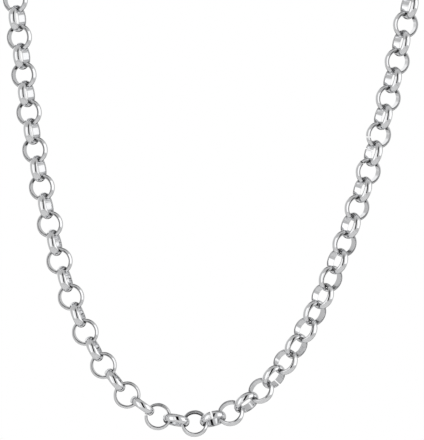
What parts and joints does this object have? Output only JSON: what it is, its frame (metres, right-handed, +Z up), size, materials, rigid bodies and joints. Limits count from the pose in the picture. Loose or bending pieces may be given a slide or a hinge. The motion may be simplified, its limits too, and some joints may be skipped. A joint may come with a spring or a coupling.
{
  "type": "rolo chain necklace",
  "caption": "Necklace of round interlocking rings of D-section band, hanging in a long front curve and closed by a plain lobster clasp at the nape.",
  "frame": {"origin": "middle of the nape, on the line through the links' centres, where the loop hangs on the back of the neck", "axes": "+Z up, -Y to the front where the long curve hangs, +X to the right of someone who looks at the front"},
  "size_m": [0.1304, 0.1059, 0.1928],
  "materials": {
    "polished_links": "polished bright steel",
    "polished_clasp": "polished bright steel"
  },
  "bodies": {
    "root": {"chain_left": "polished_links", "chain_right": "polished_links", "clasp": "polished_clasp"}
  },
  "joints": []
}
